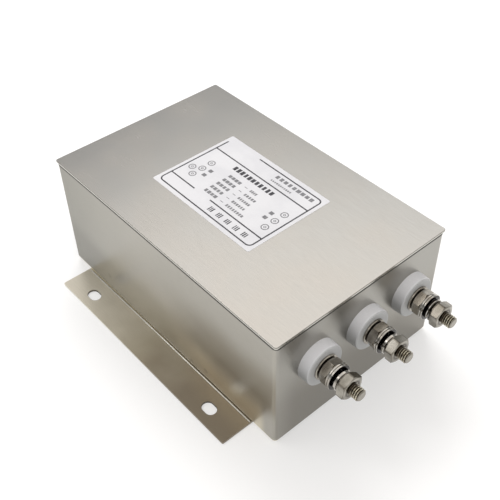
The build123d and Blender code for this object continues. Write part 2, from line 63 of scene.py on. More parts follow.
# The two ends, each with its side of X, and the terminals' places on their walls
ENDS = (("load", 1), ("line", -1))
TERMINAL_Z = 57.2
TERMINAL_PITCH = 39.5
TERMINAL_SHIFT = 1.3
TERMINAL_ROWS = [TERMINAL_SHIFT + TERMINAL_PITCH * row for row in (-1, 0, 1)]
EARTH_Y = -45.0
EARTH_Z = 19.5
BUSHING_LENGTH = 7.7

# Studs and their thread, whose crest and flanks are shares of its pitch
STUD_RADIUS = 4.0
STUD_REACH = 36.0
STUD_CHAMFER = 1.0
THREAD_PITCH = 1.4
THREAD_DEPTH = 0.75
THREAD_CREST = 0.26
THREAD_FLANK = 0.26
PITCH_RADIUS = 3.6
RUN_OUT = 0.3
TIP_STEP = 0.04
TIP_EASE = 0.12

# Nuts
NUT_FLATS = 15.0
NUT_HEIGHT = 6.5
NUT_FACE = 0.95 * NUT_FLATS / 2
NUT_CONE = 30.0
NUT_SEAT = 0.6
NUT_SEAT_RADIUS = 0.92 * NUT_FLATS / 2
NUT_BORE = 3.65
NUT_MOUTH = 1.1
NUT_EDGE = 0.25
NUT_SEAT_EASE = 0.12
NUT_FACE_EASE = 0.08
NUT_FACE_STEP = 0.03
NUT_CONE_STEP = 0.05

# Flat and spring washers
WASHER_RADIUS = 8.75
WASHER_BORE = 4.4
WASHER_THICKNESS = 1.5
WASHER_EASE = 0.3
SEAT_THICKNESS = 1.4
SPRING_RADIUS = 7.0
SPRING_SHEET = 1.9
SPRING_RISE = 2.0
SPRING_GAP = 14.0
SPRING_EASE = 0.28
EASE_MIDDLE = 0.29

# Where each piece of a terminal starts, measured out from the wall's outer face
STUD_START = -21.0
INNER_NUT_START = -18.5
SEAT_START = BUSHING_LENGTH
LOCK_START = SEAT_START + SEAT_THICKNESS
FLAT_START = LOCK_START + NUT_HEIGHT
SPRING_START = FLAT_START + 2 * WASHER_THICKNESS
OUTER_START = SPRING_START + SPRING_SHEET + SPRING_RISE
OUTER_FACE = OUTER_START + NUT_HEIGHT

# The same for the earth stud, which is bolted straight through the wall
EARTH_STUD_START = -12.0
EARTH_INNER_WASHER = -SHEET - WASHER_THICKNESS
EARTH_INNER_NUT = EARTH_INNER_WASHER - NUT_HEIGHT
EARTH_LOCK = WASHER_THICKNESS
EARTH_FLAT = EARTH_LOCK + NUT_HEIGHT
EARTH_SPRING = EARTH_FLAT + WASHER_THICKNESS
EARTH_OUTER = EARTH_SPRING + SPRING_SHEET + SPRING_RISE

# Turn of each nut's first corner, and of each spring washer's high end, about its stud
LOCK_TURNS = {"load": (39.0, 56.0, 35.0), "line": (15.0, 3.0, 27.0)}
NUT_TURNS = {"load": (22.0, 40.0, 34.0), "line": (9.0, 24.0, 16.0)}
SPRING_TURNS = {"load": (60.0, 64.0, 224.0), "line": (124.0, 4.0, 294.0)}
EARTH_TURNS = (10.0, 25.0, 5.0)
EARTH_SPRING_TURN = 329.0

# The rating label and its layer of ink
LABEL_MIDDLE = (-2.5, 1.8)
LABEL_SIZE = (95.0, 69.0)
LABEL_CORNER = 1.2
LABEL_THICKNESS = 0.12
INK_THICKNESS = 0.02

# The seam under the lid, the bead at the long walls' foot, and each spot weld's x, z and radius
SEAM_PROUD = 0.12
SEAM_INSET = 1.4
SEAM_INNER_CORNER = 1.6
SEAM_LOW = 88.0
SEAM_HIGH = 89.99
BEAD_MIDDLE = 70.05
BEAD_HALF = 0.6
BEAD_HEIGHT = 0.32
BEAD_LIFT = 0.01
BEAD_INSET = 0.2
BEAD_TAPER = 0.6
BEAD_TIP_SHARE = 0.4
WELDS = ((-63.4, 15.1, 2.4), (29.5, 6.3, 2.2), (44.3, 9.7, 2.4))

# The photograph's view, solved from the case's corners, the lights' target and the floor
CAMERA_PLACE = (306.41, -253.91, 419.18)
CAMERA_BEARING = 49.556
CAMERA_RISE = 43.576
CAMERA_TILT = -1.069
CAMERA_LENS = 57.885
CAMERA_SENSOR = 36.0
CAMERA_NEAR = 10.0
LIGHT_TARGET = (0.0, 0.0, 50.0)
FLOOR_HALF = 9000.0
FLOOR_TOP = -0.02


# Node trees

class Reading:
    """One output in a node tree, which can stand in a sum like a number."""

    def __init__(self, nodes, socket):
        self.nodes = nodes
        self.socket = socket

    def __add__(self, other):
        return self.nodes.math("ADD", self, other)

    def __sub__(self, other):
        return self.nodes.math("SUBTRACT", self, other)

    def __rsub__(self, other):
        return self.nodes.math("SUBTRACT", other, self)

    def __mul__(self, other):
        return self.nodes.math("MULTIPLY", self, other)

    def __pow__(self, other):
        return self.nodes.math("POWER", self, other)

    def __abs__(self):
        return self.nodes.math("ABSOLUTE", self)

    __radd__ = __add__
    __rmul__ = __mul__


def set_stops(ramp, stops):
    """A ramp's positions and tints, eased from one to the next."""
    ramp.interpolation = "EASE"
    while len(ramp.elements) < len(stops):
        ramp.elements.new(0.5)
    for element, (position, tint) in zip(ramp.elements, stops):
        element.position = position
        element.color = (*tint, 1.0)


class Nodes:
    """A node tree and the nodes that this file's looks are built from."""

    def __init__(self, tree):
        self.tree = tree

    def connect(self, socket, value):
        """Links a reading or sets a plain value; a tint is given as red, green and blue."""
        if isinstance(value, Reading):
            self.tree.links.new(value.socket, socket)
        elif socket.type == "RGBA":
            socket.default_value = (*value, 1.0)
        else:
            socket.default_value = value

    def node(self, kind, settings=None, values=None, output=0):
        made = self.tree.nodes.new(kind)
        for key, value in (settings or {}).items():
            if key == "stops":
                set_stops(made.color_ramp, value)
            else:
                setattr(made, key, value)
        for key, value in (values or {}).items():
            self.connect(made.inputs[key], value)
        return Reading(self, made.outputs[output])

    def math(self, operation, *values):
        return self.node("ShaderNodeMath", {"operation": operation}, dict(enumerate(values)))

    def stretch(self, point, factors):
        return self.node("ShaderNodeVectorMath", {"operation": "MULTIPLY"}, {0: point, 1: factors})

    def axis(self, point, name):
        return self.node("ShaderNodeSeparateXYZ", None, {0: point}, name)

    def noise(self, point, scale, detail=3.0, roughness=0.55):
        values = {"Vector": point, "Scale": scale, "Detail": detail, "Roughness": roughness}
        return self.node("ShaderNodeTexNoise", None, values)

    def fit(self, value, low, high, to_low=0.0, to_high=1.0):
        """A value carried smoothly from one range to another, and held at its ends."""
        values = {0: value, 1: low, 2: high, 3: to_low, 4: to_high}
        return self.node("ShaderNodeMapRange", {"interpolation_type": "SMOOTHSTEP"}, values)

    def mix(self, share, first, second):
        settings = {"data_type": "RGBA"}
        return self.node("ShaderNodeMix", settings, {0: share, 6: first, 7: second}, output=2)

    def bump(self, height, strength, depth, normal=None):
        """Relief of a depth in millimetres, over a normal where one is given."""
        values = {"Height": height, "Strength": strength, "Distance": depth * MM}
        if normal:
            values["Normal"] = normal
        return self.node("ShaderNodeBump", None, values)


class Finish(Nodes):
    """A finish: a material, its shader and the nodes that feed it."""

    def __init__(self, name, metallic=0.0):
        self.material = bpy.data.materials.new(name)
        self.material.use_nodes = True
        super().__init__(self.material.node_tree)
        self.shader = self.tree.nodes["Principled BSDF"]
        self.feed("Metallic", metallic)

    def feed(self, name, value):
        self.connect(self.shader.inputs[name], value)

    def place(self):
        """The point on the object, in millimetres."""
        point = self.node("ShaderNodeTexCoord", output="Object")
        return self.node("ShaderNodeVectorMath", {"operation": "SCALE"}, {0: point, "Scale": 1 / MM})

    def clouded(self, cloud, tint, second):
        """A tint that drifts into a second one in soft patches."""
        return self.mix(self.fit(cloud, 0.35, 0.68), tint, second)


def shade(tint, factor):
    return tuple(channel * factor for channel in tint)


def apart(across, up):
    """How far apart two places are, from how far they are apart in two directions."""
    return (across ** 2 + up ** 2) ** 0.5


# The case's finishes

def satin_sheet(name, tint, warm, roughness, grain_along, zones):
    """Satin plated sheet: a faint rolling grain, soft clouds of tint, a slight wave and its own zones."""
    finish = Finish(name, metallic=1.0)
    point = finish.place()
    grain = finish.noise(finish.stretch(point, grain_along), 2.2, 4.0, 0.6)
    cloud = finish.noise(point, 0.022, 3.0, 0.5)
    speck = finish.noise(point, 1.6, 2.0, 0.5)
    base, rough, relief = zones(finish, point, cloud, finish.clouded(cloud, tint, warm))
    base = finish.mix(finish.fit(grain, 0.3, 0.72, 0.0, 0.10), base, shade(tint, 0.72))
    rough = rough + roughness + 0.10 * (grain - 0.5) + 0.07 * (cloud - 0.5) + 0.04 * (speck - 0.5)
    fine = finish.bump(grain * 0.35 + speck * 0.3 + relief, 0.05, 0.04)
    wave = finish.noise(point, 0.016, 1.0, 0.4)
    finish.feed("Base Color", base)
    finish.feed("Roughness", rough)
    finish.feed("Normal", finish.bump(wave, 0.35, 0.6, fine))
    return finish.material


def case_zones(finish, point, cloud, base):
    """Painted shade and painted reflection on the end walls and the long walls, a pale band of painted light
    at the long walls' foot, and weld marks.
    """
    y = finish.axis(point, "Y")
    height = finish.axis(point, "Z") + 16.0 * (cloud - 0.5)
    base = end_wall_painted_shade(finish, finish.axis(point, "X"), y, height, base)
    wall = long_wall_painted_light_and_shade(finish, point, cloud, height)
    base = finish.mix(finish.fit(abs(y), CASE_SIDE - 1.5, CASE_SIDE - 0.5), base, wall)
    # Painted light: a pale band low on the long walls, just above the mounting plate.
    painted_foot_light = finish.fit(finish.axis(point, "Z"), PLATE_TOP + 2.7, PLATE_TOP + 1.5)
    painted_foot_light = painted_foot_light * finish.fit(abs(y), CASE_SIDE - 5.5, CASE_SIDE - 2.5)
    base = finish.mix(painted_foot_light, base, (0.80, 0.75, 0.62))
    spot, rim = weld_marks(finish, point)
    base = finish.mix(spot * 0.25, base, (0.22, 0.21, 0.18))
    return base, 0.10 * spot, -3.0 * rim


def end_wall_painted_shade(finish, x, y, height, base):
    """The end walls: painted shade low down, less of it at the near side, and painted shade under the lid
    beside the load bushings.
    """
    grey, shade_tint = (0.24, 0.226, 0.198), (0.20, 0.19, 0.17)
    away = finish.fit(y, -70.0, -52.0, 0.5, 1.0)
    # Painted shade: grey over the lower part of each end wall, lighter towards the near side.
    base = finish.mix(finish.fit(height, 68.0, 28.0) * away, base, grey)
    # Painted shade: a dark patch under the lid, above and to one side of each load bushing.
    bushing_shade_patches = sum(finish.fit(apart(y - row + 18.0, height - 84.0), 20.0, 0.0) for row in TERMINAL_ROWS)
    load_end = finish.fit(x, WALL - 1.0, WALL - 0.5)
    return finish.mix(bushing_shade_patches * load_end * 0.45, base, shade_tint)


def long_wall_painted_light_and_shade(finish, point, cloud, height):
    """The long walls in painted shade and light: a brown band of painted shade at the load end, a pale foot
    of painted light below it, and painted shade at the line end.
    """
    silver, brown, dark = (0.41, 0.393, 0.35), (0.29, 0.264, 0.212), (0.26, 0.252, 0.22)
    black, pale = (0.02, 0.016, 0.01), (0.65, 0.60, 0.48)
    x = finish.axis(point, "X")
    along = x + 40.0 * (cloud - 0.5)
    # Painted shade: a brown band across the middle height towards the load end.
    band = finish.fit(height, 74.0, 50.0) * finish.fit(height, 20.0, 36.0) * finish.fit(along, 0.0, 65.0)
    wall = finish.mix(band, silver, brown)
    # Painted shade: darker towards the line end.
    wall = finish.mix(finish.fit(along, 0.0, -125.0), wall, dark)
    # Painted shade: darker low down towards the line end.
    low = finish.fit(height, 48.0, 28.0) * finish.fit(along, 35.0, -5.0)
    wall = finish.mix(low * 0.20, wall, black)
    # Painted light: a pale foot low down towards the load end, stopping short of the end wall.
    foot = finish.fit(height, 36.0, 14.0) * finish.fit(along, 10.0, 55.0)
    return finish.mix(foot * finish.fit(x, 102.0, 95.0), wall, pale)


def weld_marks(finish, point):
    """Spot-weld marks low on the near long wall, as spots and their rims."""
    x = finish.axis(point, "X")
    z = finish.axis(point, "Z")
    side = finish.fit(finish.axis(point, "Y"), -CASE_SIDE + 0.6, -CASE_SIDE + 0.3)
    spot = 0.0
    rim = 0.0
    for mark_x, mark_z, radius in WELDS:
        reach = apart(x - mark_x, z - mark_z)
        disc = finish.fit(reach, radius, 0.6 * radius)
        spot = disc + spot
        rim = disc - finish.fit(reach, 0.75 * radius, 0.45 * radius) + rim
    return spot * side, rim * side


def lid_zones(finish, point, _cloud, base):
    """The lid's eased rim is darkened as a painted dark reflection, and its cut edge is bare."""
    shade_tint, bare = (0.22, 0.21, 0.185), (0.56, 0.545, 0.50)
    height = finish.axis(point, "Z")
    rim = finish.fit(height, LID_TOP - 0.03, LID_TOP - 0.13)
    edge = finish.fit(height, LID_TOP - 0.45, LID_TOP - 0.60)
    # Painted reflection: a dark line along the lid's eased rim.
    base = finish.mix(rim, base, shade_tint)
    return finish.mix(edge, base, bare), -0.06 * edge, 0.0


def plate_zones(finish, point, cloud, base):
    """The mounting plate: lighter at the line end as painted reflection, darker brown at the load end as
    painted shade, and painted shade on the walls of its slots.
    """
    line_end_light, brown, shade_tint = (0.76, 0.725, 0.63), (0.275, 0.238, 0.188), (0.12, 0.106, 0.085)
    along = finish.axis(point, "X") + 60.0 * (cloud - 0.5)
    # Painted light: lighter towards the line end.
    base = finish.mix(finish.fit(along, -6.0, -66.0), base, line_end_light)
    # Painted shade: darker brown towards the load end.
    load_end_shade = finish.fit(along, -15.0, 45.0)
    base = finish.mix(load_end_shade, base, brown)
    # Painted shade: dark on the cut walls of the slots.
    return finish.mix(slot_walls(finish, point), base, shade_tint), 0.05 * load_end_shade, 0.0


def slot_walls(finish, point):
    """One on the cut walls of the mounting plate's four slots, and nothing elsewhere."""
    radius = SLOT_WIDTH / 2
    straight = SLOT_LENGTH / 2 - radius
    along = abs(abs(finish.axis(point, "X") - PLATE_MIDDLE) - SLOT_PITCH_X / 2) - straight
    across = abs(finish.axis(point, "Y")) - SLOT_PITCH_Y / 2
    reach = apart(finish.math("MAXIMUM", along, 0.0), across)
    return finish.fit(reach, radius + 0.15, radius + 0.05)


# The terminals' finishes

# Near-black tint for the painted shade in the terminals' gaps.
GAP_SHADE_BLACK = (0.012, 0.010, 0.008)


def stud_distance(finish, point):
    """How far a point is from the nearest stud's axis."""
    y = finish.axis(point, "Y")
    z = finish.axis(point, "Z")
    nearest = apart(y - EARTH_Y, z - EARTH_Z)
    for row in TERMINAL_ROWS:
        nearest = finish.math("MINIMUM", nearest, apart(y - row, z - TERMINAL_Z))
    return nearest


def painted_gap_shade(finish, point, out):
    """Painted shade in the terminals' gaps: black round each lock nut's seat, and behind the spring washer's
    sprung end.
    """
    seat = finish.fit(out, LOCK_START - 0.02, LOCK_START + 0.06)
    seat = seat * finish.fit(out, LOCK_START + 0.85, LOCK_START + 0.6)
    sprung = finish.fit(out, SPRING_START - 0.12, SPRING_START + 0.02)
    sprung = sprung * finish.fit(out, SPRING_START + SPRING_RISE, SPRING_START + SPRING_RISE - 0.3)
    above_earth = finish.fit(finish.axis(point, "Z"), 36.0, 40.0)
    return (seat + sprung) * above_earth


def nut_dark_edges_and_shade(finish, reach, out):
    """A terminal nut darker on its cones and corners, with painted shade round the stud on its front face."""
    none, full = 0.26, 0.06
    rise = tan(radians(NUT_CONE)) * (reach - NUT_FACE)
    front = finish.fit(OUTER_FACE - out - rise, none, full)
    back = finish.fit(out - OUTER_START - NUT_SEAT - rise, none, full)
    corner = finish.fit(reach, 8.15, 8.5)
    on_face = finish.fit(out, OUTER_FACE - 0.3, OUTER_FACE - 0.05)
    # Painted shade: dark round the stud on the nut's front face.
    mouth = finish.fit(reach, 6.6, 4.9) * on_face
    return 0.55 * (front + back + corner) * (1.0 - on_face) + 0.95 * mouth


def plated_hardware(name, tint, dark, roughness, nut_shading=False):
    """Nickel-plated hardware: machined rings of grain, handling marks and darker film, with painted shade in
    the terminals' gaps.
    """
    finish = Finish(name, metallic=1.0)
    point = finish.place()
    grain = finish.noise(finish.stretch(point, (6.0, 0.8, 0.8)), 1.5, 3.0, 0.6)
    film = finish.noise(point, 0.11, 2.0, 0.5)
    dents = finish.noise(point, 2.6, 2.0, 0.5)
    base = finish.mix(finish.fit(film, 0.38, 0.70), tint, dark)
    base = finish.mix(finish.fit(grain, 0.4, 0.75, 0.0, 0.25), base, shade(dark, 0.8))
    out = abs(finish.axis(point, "X")) - WALL
    if nut_shading:
        # Darker on the nut's cones and corners, with painted shade round the stud.
        dark_edges_and_shade = nut_dark_edges_and_shade(finish, stud_distance(finish, point) + 0.5 * (film - 0.5), out)
        base = finish.mix(dark_edges_and_shade, base, (0.07, 0.058, 0.043))
    # Painted shade in the terminals' gaps.
    finish.feed("Base Color", finish.mix(painted_gap_shade(finish, point, out), base, GAP_SHADE_BLACK))
    finish.feed("Roughness", roughness + 0.12 * (film - 0.5) + 0.10 * (dents - 0.5))
    finish.feed("Normal", finish.bump(grain + dents, 0.08, 0.05))
    return finish.material


def stud_metal():
    """The studs: plated crests over painted shade in the thread roots, darker at the tip, and painted shade
    next to the nut.
    """
    crest, tarnish, root_tint = (0.62, 0.58, 0.46), (0.26, 0.225, 0.165), (0.03, 0.022, 0.014)
    tip_tint, deep_shade_tint = (0.33, 0.31, 0.265), (0.05, 0.037, 0.025)
    finish = Finish("stud_plating", metallic=1.0)
    point = finish.place()
    radius = stud_distance(finish, point)
    film = finish.noise(point, 0.7, 3.0, 0.6)
    # Painted shade: near black in the thread roots.
    root = finish.fit(radius, STUD_RADIUS - 0.1, STUD_RADIUS - THREAD_DEPTH) * finish.fit(radius, 2.6, 3.2)
    base = finish.mix(finish.fit(film, 0.42, 0.62), crest, tarnish)
    base = finish.mix(root, base, root_tint)
    out = abs(finish.axis(point, "X")) - WALL
    base = finish.mix(finish.fit(out, STUD_REACH - 0.9, STUD_REACH - 0.2), base, tip_tint)
    # Painted shade: dark on the stud next to the outer nut's front face.
    base = finish.mix(finish.fit(out, OUTER_FACE + 4.0, OUTER_FACE) * 0.8, base, deep_shade_tint)
    # Painted shade in the terminals' gaps.
    finish.feed("Base Color", finish.mix(painted_gap_shade(finish, point, out), base, GAP_SHADE_BLACK))
    finish.feed("Roughness", 0.24 + 0.18 * (film - 0.5) + 0.2 * root)
    finish.feed("Normal", finish.bump(finish.noise(point, 3.0, 2.0, 0.5), 0.15, 0.04))
    return finish.material


def bushing_nylon():
    """White nylon, whitest on its rim, with painted shade on its front face and underneath."""
    white, pale, shade_tint = (0.84, 0.845, 0.875), (0.80, 0.805, 0.83), (0.45, 0.455, 0.45)
    deep_shade_tint, pore_tint = (0.27, 0.275, 0.27), (0.6, 0.6, 0.6)
    finish = Finish("bushing_nylon")
    point = finish.place()
    cloud = finish.noise(point, 0.12, 3.0, 0.55)
    pore = finish.noise(point, 1.6, 3.0, 0.6)
    out = abs(finish.axis(point, "X")) - WALL
    front = finish.fit(out, BUSHING_LENGTH - 0.9, BUSHING_LENGTH - 0.1)
    # Painted shade: greyer on the front face.
    base = finish.mix(front * 0.85, finish.clouded(cloud, white, pale), shade_tint)
    # Painted shade: darker underneath, less so on the front face.
    under = finish.fit(finish.axis(point, "Z") + 4.0 * cloud, TERMINAL_Z + 14.5, TERMINAL_Z - 1.0)
    base = finish.mix(under * (0.95 - 0.5 * front), base, deep_shade_tint)
    finish.feed("Base Color", finish.mix(finish.fit(pore, 0.45, 0.8, 0.0, 0.12), base, pore_tint))
    finish.feed("Roughness", 0.42 + 0.12 * (cloud - 0.5) + 0.10 * (pore - 0.5))
    finish.feed("Normal", finish.bump(pore, 0.08, 0.06))
    return finish.material


# The finishes of the label, the inside and the floor

def moulded(name, tint, second, roughness, scale=0.09, pores=2.2, bump=0.12):
    """Moulded or cut plastic, ceramic, film or sleeve: soft clouds, fine pores, uneven gloss."""
    finish = Finish(name)
    point = finish.place()
    cloud = finish.noise(point, scale, 3.0, 0.55)
    pore = finish.noise(point, pores, 3.0, 0.6)
    base = finish.clouded(cloud, tint, second)
    finish.feed("Base Color", finish.mix(finish.fit(pore, 0.45, 0.8, 0.0, 0.12), base, shade(second, 0.8)))
    finish.feed("Roughness", roughness + 0.12 * (cloud - 0.5) + 0.10 * (pore - 0.5))
    finish.feed("Normal", finish.bump(pore, bump, 0.06))
    return finish.material


def inner_metal(name, tint, second, roughness, along):
    """Metal inside the case: drawn grain along one direction over a patchy film."""
    finish = Finish(name, metallic=1.0)
    point = finish.place()
    grain = finish.noise(finish.stretch(point, along), 1.4, 3.0, 0.6)
    film = finish.noise(point, 0.12, 3.0, 0.6)
    base = finish.mix(finish.fit(film, 0.35, 0.7), tint, second)
    finish.feed("Base Color", finish.mix(finish.fit(grain, 0.4, 0.75, 0.0, 0.3), base, shade(second, 0.7)))
    finish.feed("Roughness", roughness + 0.14 * (grain - 0.5) + 0.1 * (film - 0.5))
    finish.feed("Normal", finish.bump(grain, 0.15, 0.06))
    return finish.material


def woven_board():
    """Green board laminate with the faint square weave of its glass cloth."""
    dark, green, deep = (0.03, 0.13, 0.05), (0.06, 0.2, 0.08), (0.02, 0.09, 0.04)
    finish = Finish("board_laminate")
    point = finish.place()
    across, along = (finish.math("SINE", finish.axis(point, name) * 7.0) for name in ("X", "Y"))
    weave = across * along
    cloud = finish.noise(point, 0.1, 3.0, 0.5)
    base = finish.mix(finish.fit(weave, -0.8, 0.8, 0.0, 0.35), dark, green)
    finish.feed("Base Color", finish.mix(cloud * 0.4, base, deep))
    finish.feed("Roughness", 0.38 + 0.15 * (cloud - 0.5))
    finish.feed("Normal", finish.bump(weave, 0.15, 0.04))
    return finish.material


def label_film():
    """White polyester film with a faint lavender tint and a satin, slightly pebbled face."""
    white, grey, hollow = (0.635, 0.635, 0.655), (0.59, 0.59, 0.615), (0.48, 0.48, 0.505)
    finish = Finish("label_film")
    point = finish.place()
    cloud = finish.noise(point, 0.05, 3.0, 0.5)
    pebble = finish.noise(point, 2.4, 2.0, 0.5)
    base = finish.clouded(cloud, white, grey)
    finish.feed("Base Color", finish.mix(finish.fit(pebble, 0.5, 0.8, 0.0, 0.1), base, hollow))
    finish.feed("Roughness", 0.42 + 0.12 * (pebble - 0.5) + 0.08 * (cloud - 0.5))
    finish.feed("Normal", finish.bump(pebble, 0.1, 0.04))
    return finish.material


def printed_ink(name, tint, thin):
    """Printing ink, thinner in places."""
    finish = Finish(name)
    wear = finish.noise(finish.place(), 0.9, 3.0, 0.6)
    finish.feed("Base Color", finish.mix(finish.fit(wear, 0.4, 0.75), tint, thin))
    finish.feed("Roughness", 0.45 + 0.2 * (wear - 0.5))
    return finish.material


def pale_floor():
    """A pale sheet that glows a little, so that the object's shadow on it stays light."""
    finish = Finish("studio_floor")
    cloud = finish.noise(finish.place(), 0.004, 2.0, 0.5)
    finish.feed("Base Color", finish.mix(cloud, (0.51, 0.51, 0.51), (0.49, 0.49, 0.49)))
    finish.feed("Roughness", 0.7 + 0.1 * (cloud - 0.5))
    finish.feed("Emission Color", (1.0, 1.0, 1.0))
    finish.feed("Emission Strength", 0.47)
    return finish.material


# One finish for each material slot of the solids
FINISHES = {
    "case_metal": satin_sheet(
        "case_satin", (0.375, 0.365, 0.335), (0.395, 0.378, 0.338), 0.32, (0.06, 1.0, 1.0), case_zones
    ),
    "lid_metal": satin_sheet(
        "lid_satin", (0.61, 0.60, 0.575), (0.63, 0.61, 0.575), 0.25, (0.05, 1.0, 1.0), lid_zones
    ),
    "plate_metal": satin_sheet(
        "plate_satin", (0.475, 0.44, 0.355), (0.445, 0.40, 0.31), 0.38, (0.06, 1.0, 1.0), plate_zones
    ),
    "nickel_hardware": plated_hardware(
        "nickel_plating", (0.42, 0.40, 0.355), (0.24, 0.225, 0.19), 0.18, nut_shading=True
    ),
    "stud_metal": stud_metal(),
    "nylon": bushing_nylon(),
    "label_film": label_film(),
    "tray_metal": inner_metal("zinc_sheet", (0.60, 0.61, 0.62), (0.48, 0.49, 0.50), 0.42, (0.1, 1, 1)),
    "liner_sheet": moulded(
        "liner_paper", (0.62, 0.58, 0.46), (0.55, 0.50, 0.38), 0.6, scale=0.2, pores=0.8, bump=0.3
    ),
    "core_metal": inner_metal("core_strip", (0.30, 0.30, 0.33), (0.18, 0.18, 0.2), 0.4, (8, 0.4, 0.4)),
    "core_case": moulded("core_case_black", (0.02, 0.02, 0.022), (0.035, 0.035, 0.038), 0.35),
    "divider_plastic": moulded("divider_white", (0.70, 0.69, 0.64), (0.62, 0.61, 0.57), 0.5),
    "enamelled_copper": inner_metal(
        "enamelled_wire", (0.62, 0.24, 0.09), (0.45, 0.15, 0.05), 0.26, (0.2, 1.5, 1.5)
    ),
    "board_laminate": woven_board(),
    "capacitor_yellow": moulded("capacitor_yellow", (0.72, 0.50, 0.08), (0.65, 0.43, 0.06), 0.34),
    "capacitor_blue": moulded("capacitor_blue", (0.03, 0.09, 0.34), (0.04, 0.12, 0.40), 0.30),
    "resistor_ceramic": moulded(
        "resistor_white", (0.68, 0.67, 0.62), (0.60, 0.58, 0.53), 0.7, scale=0.3, pores=1.2, bump=0.4
    ),
    "lead_insulation": moulded("lead_sleeve", (0.02, 0.02, 0.02), (0.035, 0.034, 0.033), 0.5),
    "tinned_copper": inner_metal("tinned_copper", (0.70, 0.69, 0.66), (0.58, 0.56, 0.52), 0.3, (1, 1, 0.2)),
}
WASHER_PLATING = plated_hardware("washer_plating", (0.60, 0.58, 0.54), (0.34, 0.31, 0.27), 0.16)
LOCK_NUT_PLATING = plated_hardware("lock_nut_plating", (0.48, 0.45, 0.395), (0.26, 0.235, 0.20), 0.24)
DARK_INK = printed_ink("dark_ink", (0.03, 0.03, 0.035), (0.08, 0.08, 0.09))
GREY_INK = printed_ink("grey_ink", (0.16, 0.16, 0.17), (0.25, 0.25, 0.26))
# Near-black finish of the strip of painted shade under the lid.
SEAM_SHADE = moulded(
    "seam_shade_strip", (0.03, 0.028, 0.022), (0.05, 0.045, 0.036), 0.6, scale=0.15, pores=1.4, bump=0.3
)


# Meshes

class Shell:
    """Points and faces of one piece, gathered in millimetres."""

    def __init__(self):
        self.points = []
        self.faces = []

    def loops(self, rows, closed):
        """Rows of points round an axis, joined to one another; closed joins the last to the first."""
        start = len(self.points)
        count = len(rows[0])
        for row in rows:
            self.points += row
        pairs = len(rows) if closed else len(rows) - 1
        for i in range(pairs):
            low = start + i * count
            high = start + (i + 1) % len(rows) * count
            for j in range(count):
                k = (j + 1) % count
                self.faces.append((low + j, low + k, high + k, high + j))

    def cap(self, row, flip):
        start = len(self.points)
        self.points += row
        face = tuple(range(start, start + len(row)))
        self.faces.append(face[::-1] if flip else face)

    def slab(self, outline, low, high):
        """A flat piece with an upright edge, from an outline that runs anticlockwise."""
        bottom = [(x, y, low) for x, y in outline]
        top = [(x, y, high) for x, y in outline]
        self.loops([bottom, top], closed=False)
        self.cap(top, flip=False)
        self.cap(bottom, flip=True)

    def frame_strip(self, outer, inner, low, high):
        """A flat closed strip between two outlines with as many points each."""
        corners = ((outer, low), (outer, high), (inner, high), (inner, low))
        self.loops([[(x, y, z) for x, y in outline] for outline, z in corners], closed=True)


def make_piece(name, shell, finish, stands_for, sharp=32.0):
    """A visible piece on the part's one body, in place of the solids that it stands for."""
    mesh = bpy.data.meshes.new(name)
    mesh.from_pydata([tuple(c * MM for c in point) for point in shell.points], [], shell.faces)
    mesh.validate()
    mesh.polygons.foreach_set("use_smooth", [True] * len(mesh.polygons))
    mesh.set_sharp_from_angle(angle=radians(sharp))
    mesh.materials.append(finish)
    piece = bpy.data.objects.new(name, mesh)
    bpy.context.scene.collection.objects.link(piece)
    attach(piece, "root")
    if stands_for:
        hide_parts(*stands_for)


def round_row(x, radius, count):
    """A ring of points at one x."""
    return [(x, radius * cos(tau * j / count), radius * sin(tau * j / count)) for j in range(count)]


def set_at(end, y, z, out, points):
    """Points made round the X axis, put on a stud a distance out from the end wall."""
    return [(end * (WALL + out + px), y + end * py, z + pz) for px, py, pz in points]


def add_rows(shell, end, y, z, out, rows):
    shell.loops([set_at(end, y, z, out, row) for row in rows], closed=True)


# Washers and nuts

def washer_rows(thickness, count=72):
    """A washer with eased edges on the X axis from x = 0, as rows that close on themselves."""
    near = EASE_MIDDLE * WASHER_EASE
    eased = ((WASHER_EASE, 0.0), (near, near), (0.0, WASHER_EASE))
    section = [(x, WASHER_BORE + rise) for x, rise in eased]
    section += [(x, WASHER_RADIUS - rise) for x, rise in reversed(eased)]
    section += [(thickness - x, WASHER_RADIUS - rise) for x, rise in eased]
    section += [(thickness - x, WASHER_BORE + rise) for x, rise in reversed(eased)]
    return [round_row(x, radius, count) for x, radius in section]


def hexagon_reach(angle):
    """How far a nut's side is from its axis: flats with small rounds at the corners."""
    flat = NUT_FLATS / 2
    part = (angle + pi / 6) % (pi / 3) - pi / 6
    round_middle = (flat - NUT_EDGE) / cos(pi / 6)
    half_round = atan2(NUT_EDGE * sin(pi / 6), round_middle + NUT_EDGE * cos(pi / 6))
    if abs(part) < half_round:
        side = round_middle * sin(part)
        return round_middle * cos(part) + sqrt(NUT_EDGE ** 2 - side ** 2)
    return flat / cos(pi / 6 - abs(part))


def nut_angles():
    """Angles round a nut: close together at the rounded corners, even along the flats."""
    corner = [-0.95, -0.45, 0.0, 0.45, 0.95]
    flat = [5.0 * k for k in range(1, 12)]
    return [radians(60 * side + degree) for side in range(6) for degree in corner + flat]


